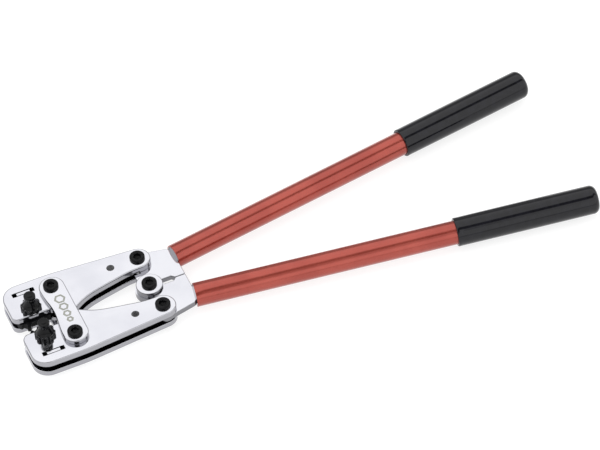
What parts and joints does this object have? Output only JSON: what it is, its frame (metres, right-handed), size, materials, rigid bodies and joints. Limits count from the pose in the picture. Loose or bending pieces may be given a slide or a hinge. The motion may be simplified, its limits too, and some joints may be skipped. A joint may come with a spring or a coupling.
{
  "type": "crimping tool",
  "caption": "Long-handled hand tool with two pinned jaws, rotating hexagonal crimping dies set by knobs, and two tube handles that close them through levers.",
  "frame": {"origin": "centre of the tool's length and width, at the height of the lowest nut faces", "axes": "+X from the nose of the jaws to the ends of the grips, +Y across the tool to the upper jaw, +Z from the nuts up to the die knobs"},
  "size_m": [0.64, 0.2226, 0.0544],
  "materials": {
    "chrome_plate": "polished chrome plating",
    "black_oxide": "black oxide",
    "tool_steel": "ground tool steel",
    "spring_steel": "spring steel",
    "red_lacquer": "brick-red lacquer, satin gloss",
    "black_grip": "glossy black sleeve"
  },
  "bodies": {
    "link": {"link_plate_front": "chrome_plate", "link_plate_back": "chrome_plate", "link_bolts": "black_oxide", "link_nuts": "black_oxide"},
    "centre_pivot": {"centre_bolt": "black_oxide", "centre_nut": "black_oxide"},
    "upper_jaw": {"upper_jaw_plate_front": "chrome_plate", "upper_jaw_plate_back": "chrome_plate", "upper_nose_spacer": "tool_steel", "upper_spacer_pin": "black_oxide", "upper_pivot_bush": "tool_steel", "upper_lever_bolt": "black_oxide", "upper_lever_nut": "black_oxide"},
    "upper_die": {"upper_die_wheel": "black_oxide", "upper_die_axle": "tool_steel", "upper_axle_clip": "spring_steel", "upper_knob_screw": "black_oxide", "upper_knob_spring": "spring_steel"},
    "upper_knob": {"upper_knob": "black_oxide", "upper_lock_pin": "tool_steel"},
    "upper_handle": {"upper_lever": "chrome_plate", "upper_tube": "red_lacquer", "upper_grip": "black_grip"},
    "lower_jaw": {"lower_jaw_plate_front": "chrome_plate", "lower_jaw_plate_back": "chrome_plate", "lower_nose_spacer": "tool_steel", "lower_spacer_pin": "black_oxide", "lower_pivot_bush": "tool_steel", "lower_lever_bolt": "black_oxide", "lower_lever_nut": "black_oxide"},
    "lower_die": {"lower_die_wheel": "black_oxide", "lower_die_axle": "tool_steel", "lower_axle_clip": "spring_steel", "lower_knob_screw": "black_oxide", "lower_knob_spring": "spring_steel"},
    "lower_knob": {"lower_knob": "black_oxide", "lower_lock_pin": "tool_steel"},
    "lower_handle": {"lower_lever": "chrome_plate", "lower_tube": "red_lacquer", "lower_grip": "black_grip"}
  },
  "joints": [
    {"name": "centre_pivot_slide", "type": "slide", "parent": "link", "child": "centre_pivot", "axis": [1, 0, 0], "range_m": [0, 0.02582]},
    {"name": "upper_jaw_swing", "type": "hinge", "parent": "link", "child": "upper_jaw", "pos_m": [-0.2668, 0.0361, 0.02205], "axis": [0, 0, 1], "range_deg": [-5.49, 0]},
    {"name": "upper_handle_swing", "type": "hinge", "parent": "centre_pivot", "child": "upper_handle", "pos_m": [-0.1677, 0, 0.02205], "axis": [0, 0, 1], "range_deg": [0, 44]},
    {"name": "upper_die_turn", "type": "hinge", "parent": "upper_jaw", "child": "upper_die", "pos_m": [-0.2958, 0.02095, 0.02205], "axis": [0, 0, 1], "continuous": true},
    {"name": "upper_knob_pull", "type": "slide", "parent": "upper_die", "child": "upper_knob", "axis": [0, 0, 1], "range_m": [0, 0.004], "stiffness_N_per_m": 1200, "springref_m": -0.004, "deforming": ["upper_knob_spring"]},
    {"name": "lower_jaw_swing", "type": "hinge", "parent": "link", "child": "lower_jaw", "pos_m": [-0.2668, -0.0361, 0.02205], "axis": [0, 0, 1], "range_deg": [0, 5.49]},
    {"name": "lower_handle_swing", "type": "hinge", "parent": "centre_pivot", "child": "lower_handle", "pos_m": [-0.1677, 0, 0.02205], "axis": [0, 0, 1], "range_deg": [-44, 0]},
    {"name": "lower_die_turn", "type": "hinge", "parent": "lower_jaw", "child": "lower_die", "pos_m": [-0.2958, -0.02095, 0.02205], "axis": [0, 0, 1], "continuous": true},
    {"name": "lower_knob_pull", "type": "slide", "parent": "lower_die", "child": "lower_knob", "axis": [0, 0, 1], "range_m": [0, 0.004], "stiffness_N_per_m": 1200, "springref_m": -0.004, "deforming": ["lower_knob_spring"]}
  ],
  "couplings": [
    {"joint": "lower_handle_swing", "follows": "upper_handle_swing", "ratio": -1},
    {"joint": "upper_jaw_swing", "follows": "upper_handle_swing", "ratio": -0.12485},
    {"joint": "lower_jaw_swing", "follows": "upper_handle_swing", "ratio": 0.12485},
    {"joint": "centre_pivot_slide", "follows": "upper_handle_swing", "m_per_rad": 0.033626}
  ]
}
